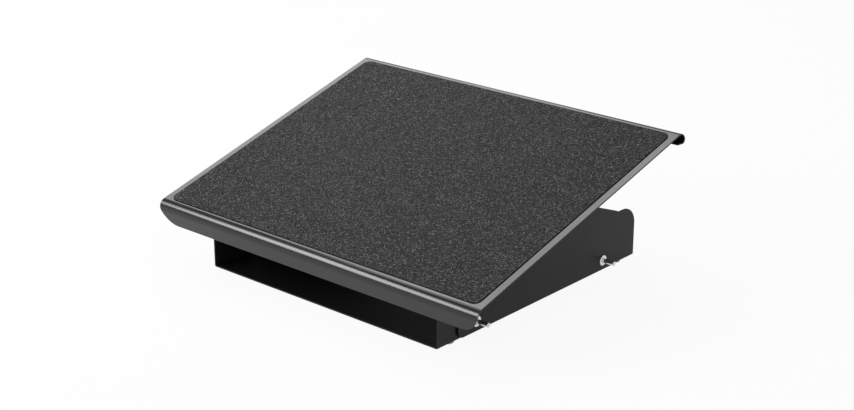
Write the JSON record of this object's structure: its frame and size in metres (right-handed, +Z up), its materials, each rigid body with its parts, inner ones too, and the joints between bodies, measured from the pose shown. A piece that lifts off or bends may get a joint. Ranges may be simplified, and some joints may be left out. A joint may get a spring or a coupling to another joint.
{
  "type": "footrest",
  "caption": "Black sheet-steel footrest: a grip-mat tread tilts between side plates that slide in height on an open floor tray.",
  "frame": {"origin": "on the floor under the centre of the whole footrest as it stands at rest", "axes": "+X along the width to the right of someone facing the low front edge, +Y from the low front edge to the high rear edge, +Z up"},
  "size_m": [0.45, 0.3462, 0.1595],
  "materials": {
    "black_paint": "semi-gloss black powder coat",
    "grip_mat": "matt, fine mineral grit",
    "foot_rubber": "matt pale grey",
    "bright_plating": "bright zinc plating",
    "friction_plastic": "matt moulded nylon"
  },
  "bodies": {
    "base": {"base_tray": "black_paint", "foot_front_left": "foot_rubber", "foot_front_right": "foot_rubber", "foot_rear_left": "foot_rubber", "foot_rear_right": "foot_rubber"},
    "carrier": {"side_plate_left": "black_paint", "side_plate_right": "black_paint", "height_bolts": "bright_plating", "pivot_bolts": "bright_plating", "pivot_lock_nuts": "bright_plating", "pivot_washers": "bright_plating", "friction_washers": "friction_plastic"},
    "tread": {"tread_deck": "black_paint", "tread_mat": "grip_mat", "tilt_bracket_left": "black_paint", "tilt_bracket_right": "black_paint", "bracket_studs": "bright_plating", "bracket_nuts": "bright_plating"},
    "height_nut_front_left": {"height_nut_front_left": "bright_plating"},
    "height_nut_front_right": {"height_nut_front_right": "bright_plating"},
    "height_nut_rear_left": {"height_nut_rear_left": "bright_plating"},
    "height_nut_rear_right": {"height_nut_rear_right": "bright_plating"}
  },
  "joints": [
    {"name": "height_slide", "type": "slide", "parent": "base", "child": "carrier", "axis": [0, 0, 1], "range_m": [0, 0.036]},
    {"name": "tread_tilt", "type": "hinge", "parent": "carrier", "child": "tread", "pos_m": [0, 0.00673, 0.102], "axis": [1, 0, 0], "range_deg": [-31, 4]},
    {"name": "height_nut_front_left_turn", "type": "hinge", "parent": "carrier", "child": "height_nut_front_left", "pos_m": [-0.16295, -0.09877, 0.0145], "axis": [1, 0, 0], "continuous": true},
    {"name": "height_nut_front_right_turn", "type": "hinge", "parent": "carrier", "child": "height_nut_front_right", "pos_m": [0.16295, -0.09877, 0.0145], "axis": [1, 0, 0], "continuous": true},
    {"name": "height_nut_rear_left_turn", "type": "hinge", "parent": "carrier", "child": "height_nut_rear_left", "pos_m": [-0.16295, 0.11223, 0.0145], "axis": [1, 0, 0], "continuous": true},
    {"name": "height_nut_rear_right_turn", "type": "hinge", "parent": "carrier", "child": "height_nut_rear_right", "pos_m": [0.16295, 0.11223, 0.0145], "axis": [1, 0, 0], "continuous": true}
  ]
}
